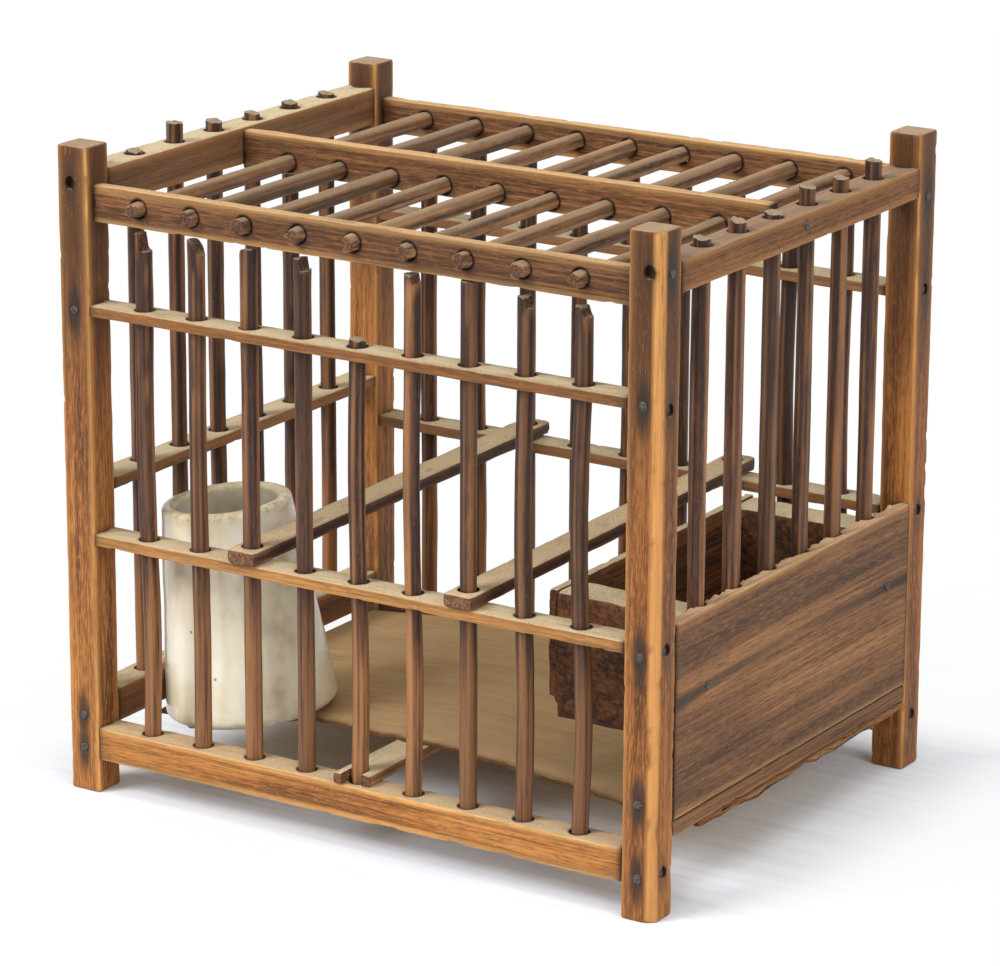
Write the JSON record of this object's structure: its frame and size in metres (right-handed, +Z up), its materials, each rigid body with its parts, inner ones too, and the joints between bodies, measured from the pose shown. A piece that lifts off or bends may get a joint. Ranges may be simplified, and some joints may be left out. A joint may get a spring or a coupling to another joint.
{
  "type": "miner's canary cage",
  "caption": "Small wooden bar cage on square posts, with perches threaded on the bars, a seed box, a thin floor and a loose stoneware water pot.",
  "frame": {"origin": "ground under the middle of the cage", "axes": "+X to the right along the long front, +Y to the rear, +Z up"},
  "size_m": [0.2075, 0.1644, 0.2],
  "materials": {
    "post_pine": "worn waxed softwood, iron-stained round the nails",
    "rail_pine": "worn waxed softwood, dusty on top",
    "bar_wood": "whittled and darkened",
    "perch_wood": "dusty lath",
    "board_pine": "weathered softwood board",
    "box_wood": "darkened, dusty edges",
    "floor_wood": "bare, dry and dusty",
    "stoneware": "cream glaze with specks",
    "nail_iron": "dull oxidised"
  },
  "bodies": {
    "cage": {"board_nails": "nail_iron", "end_board": "board_pine", "end_strip": "board_pine", "floor_batten": "floor_wood", "floor_board": "floor_wood", "frame_nails": "nail_iron", "front_bar_1": "bar_wood", "front_bar_2": "bar_wood", "front_bar_3": "bar_wood", "front_bar_4": "bar_wood", "front_bar_5": "bar_wood", "front_bar_6": "bar_wood", "front_bar_7": "bar_wood", "front_bar_8": "bar_wood", "front_bar_9": "bar_wood", "front_bottom_rail": "rail_pine", "front_middle_rail": "rail_pine", "front_top_rail": "rail_pine", "front_upper_rail": "rail_pine", "left_bars": "bar_wood", "left_bottom_rail": "rail_pine", "left_middle_rail": "rail_pine", "left_top_rail": "rail_pine", "post_front_left": "post_pine", "post_front_right": "post_pine", "post_rear_left": "post_pine", "post_rear_right": "post_pine", "rear_bars": "bar_wood", "rear_bottom_rail": "rail_pine", "rear_middle_rail": "rail_pine", "rear_top_rail": "rail_pine", "rear_upper_rail": "rail_pine", "right_bars": "bar_wood", "right_top_rail": "rail_pine", "roof_bars": "bar_wood", "roof_middle_rail": "rail_pine", "seed_box_bottom": "box_wood", "seed_box_front_block": "box_wood", "seed_box_rear_block": "box_wood", "seed_box_side": "box_wood"},
    "left_bar": {"left_lifting_bar": "bar_wood"},
    "right_bar_1": {"right_lifting_bar_1": "bar_wood"},
    "right_bar_2": {"right_lifting_bar_2": "bar_wood"},
    "right_bar_3": {"right_lifting_bar_3": "bar_wood"},
    "left_perch": {"perch_left": "perch_wood"},
    "right_perch": {"perch_right": "perch_wood"},
    "pot": {"water_pot": "stoneware"}
  },
  "joints": [
    {"name": "left_bar_lift", "type": "slide", "parent": "cage", "child": "left_bar", "axis": [0, 0, 1], "range_m": [0, 0.07]},
    {"name": "right_bar_1_lift", "type": "slide", "parent": "cage", "child": "right_bar_1", "axis": [0, 0, 1], "range_m": [0, 0.105]},
    {"name": "right_bar_2_lift", "type": "slide", "parent": "cage", "child": "right_bar_2", "axis": [0, 0, 1], "range_m": [0, 0.105]},
    {"name": "right_bar_3_lift", "type": "slide", "parent": "cage", "child": "right_bar_3", "axis": [0, 0, 1], "range_m": [0, 0.105]},
    {"name": "left_perch_rise", "type": "slide", "parent": "cage", "child": "left_perch", "axis": [0, 0, 1], "range_m": [0, 0.06]},
    {"name": "right_perch_rise", "type": "slide", "parent": "cage", "child": "right_perch", "axis": [0, 0, 1], "range_m": [0, 0.06]},
    {"name": "pot_lift", "type": "slide", "parent": "cage", "child": "pot", "axis": [0, 0, 1], "range_m": [0, 0.035]}
  ]
}
